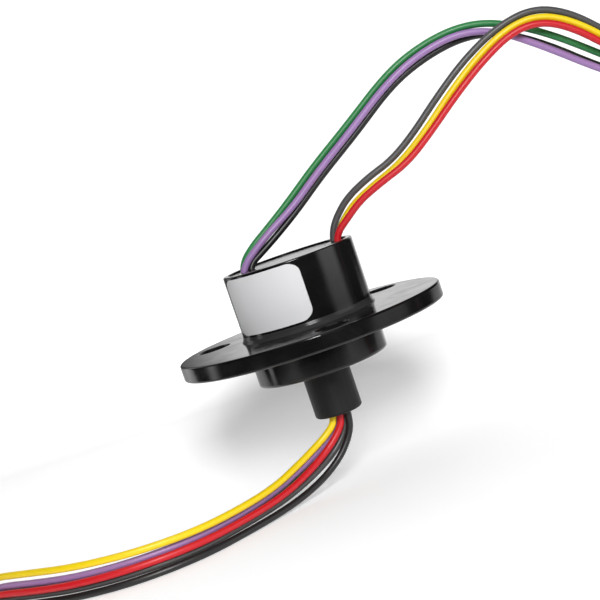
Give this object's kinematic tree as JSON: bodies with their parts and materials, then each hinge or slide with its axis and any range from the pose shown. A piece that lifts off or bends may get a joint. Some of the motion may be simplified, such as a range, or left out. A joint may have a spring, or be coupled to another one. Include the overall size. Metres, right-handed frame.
{
  "type": "flanged capsule slip ring",
  "caption": "Small flanged slip ring that carries several circuits across a turning joint, with flying leads at both ends.",
  "frame": {"origin": "on the rotation axis, in the flange's face on the body's side", "axes": "+Z along the rotation axis from the rotor stub to the end cap, +X to the stator leads' side, -Y to the viewer of the picture"},
  "size_m": [0.2518, 0.0446, 0.0655],
  "materials": {
    "housing_plastic": "gloss",
    "cap_plastic": "satin gloss",
    "adhesive": "gloss",
    "nameplate": "satin, left bare",
    "potting_resin": "gloss",
    "board_laminate": "matte",
    "rotor_plastic": "satin",
    "bearing_steel": "ground",
    "ball_steel": "polished",
    "cage_brass": "satin",
    "spring_steel": "dark",
    "spacer_plastic": "matte",
    "ring_brass": "polished",
    "brush_wire": "polished",
    "coil_jackets": null,
    "tie_nylon": "satin",
    "jacket_green": "satin",
    "jacket_violet": "satin",
    "jacket_black": "satin",
    "jacket_grey": "satin",
    "jacket_yellow": "satin",
    "jacket_red": "satin"
  },
  "bodies": {
    "stator": {"flanged_housing": "housing_plastic", "housing_tube": "housing_plastic", "end_cap": "cap_plastic", "seam_adhesive": "adhesive", "label": "nameplate", "exit_potting_left": "potting_resin", "exit_potting_right": "potting_resin", "brush_board_left": "board_laminate", "brush_board_right": "board_laminate", "lower_shim": "bearing_steel", "lower_bearing_outer_race": "bearing_steel", "upper_bearing_outer_race": "bearing_steel", "brush_pair_1": "brush_wire", "brush_pair_2": "brush_wire", "brush_pair_3": "brush_wire", "brush_pair_4": "brush_wire", "brush_pair_5": "brush_wire", "brush_pair_6": "brush_wire", "stator_lead_green": "jacket_green", "stator_lead_violet": "jacket_violet", "stator_lead_black": "jacket_black", "stator_lead_grey": "jacket_grey", "stator_lead_yellow": "jacket_yellow", "stator_lead_red": "jacket_red", "stator_lead_coil": "coil_jackets", "stator_coil_tie": "tie_nylon"},
    "rotor": {"rotor_shaft": "rotor_plastic", "rotor_potting": "potting_resin", "bearing_sleeve": "spacer_plastic", "snap_ring": "spring_steel", "lower_bearing_inner_race": "bearing_steel", "upper_bearing_inner_race": "bearing_steel", "slip_ring_1": "ring_brass", "slip_ring_2": "ring_brass", "slip_ring_3": "ring_brass", "slip_ring_4": "ring_brass", "slip_ring_5": "ring_brass", "slip_ring_6": "ring_brass", "ring_spacer_1": "spacer_plastic", "ring_spacer_2": "spacer_plastic", "ring_spacer_3": "spacer_plastic", "ring_spacer_4": "spacer_plastic", "ring_spacer_5": "spacer_plastic", "ring_spacer_6": "spacer_plastic", "ring_spacer_7": "spacer_plastic", "rotor_lead_green": "jacket_green", "rotor_lead_violet": "jacket_violet", "rotor_lead_black": "jacket_black", "rotor_lead_grey": "jacket_grey", "rotor_lead_yellow": "jacket_yellow", "rotor_lead_red": "jacket_red", "rotor_lead_coil": "coil_jackets", "rotor_coil_tie": "tie_nylon"},
    "lower_cage": {"lower_bearing_balls": "ball_steel", "lower_bearing_cage": "cage_brass"},
    "upper_cage": {"upper_bearing_balls": "ball_steel", "upper_bearing_cage": "cage_brass"}
  },
  "joints": [
    {"name": "rotor_spin", "type": "hinge", "parent": "stator", "child": "rotor", "pos_m": [0, 0, 0], "axis": [0, 0, 1], "continuous": true},
    {"name": "lower_cage_spin", "type": "hinge", "parent": "stator", "child": "lower_cage", "pos_m": [0, 0, -0.00555], "axis": [0, 0, 1], "continuous": true},
    {"name": "upper_cage_spin", "type": "hinge", "parent": "stator", "child": "upper_cage", "pos_m": [0, 0, 0.00789], "axis": [0, 0, 1], "continuous": true}
  ],
  "couplings": [
    {"joint": "lower_cage_spin", "follows": "rotor_spin", "ratio": 0.43111},
    {"joint": "upper_cage_spin", "follows": "rotor_spin", "ratio": 0.376}
  ]
}
